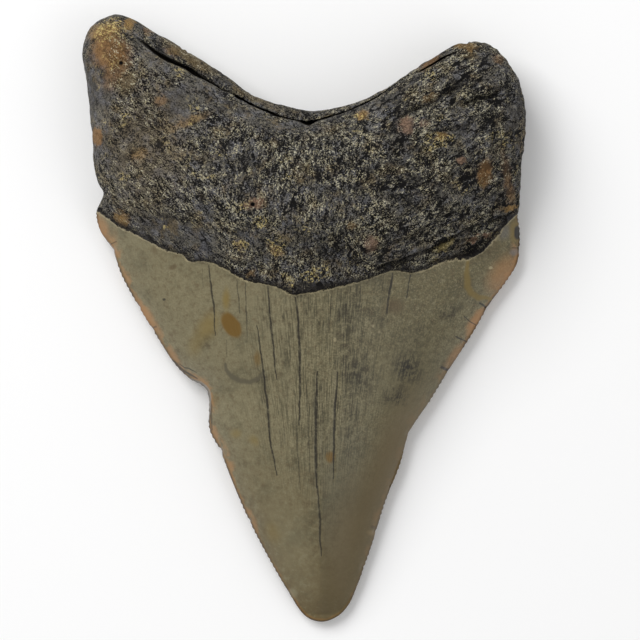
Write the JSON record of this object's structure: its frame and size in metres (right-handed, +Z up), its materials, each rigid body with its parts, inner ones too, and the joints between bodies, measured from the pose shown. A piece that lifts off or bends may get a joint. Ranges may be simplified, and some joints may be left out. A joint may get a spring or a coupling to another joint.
{
  "type": "megalodon tooth",
  "caption": "Fossil megalodon tooth with a dark rough root and a smooth olive-grey crown, lying on its flat lip-side face.",
  "frame": {"origin": "centre of the bounding box's base, on the surface that the tooth lies on", "axes": "+Y along the tooth from the crown's tip to the root, +Z up out of the bulging tongue-side face, +X to the right seen from above with the root at the far end"},
  "size_m": [0.084, 0.1148, 0.026],
  "materials": {
    "fossil": "satin"
  },
  "bodies": {
    "root": {"tooth": "fossil"}
  },
  "joints": []
}
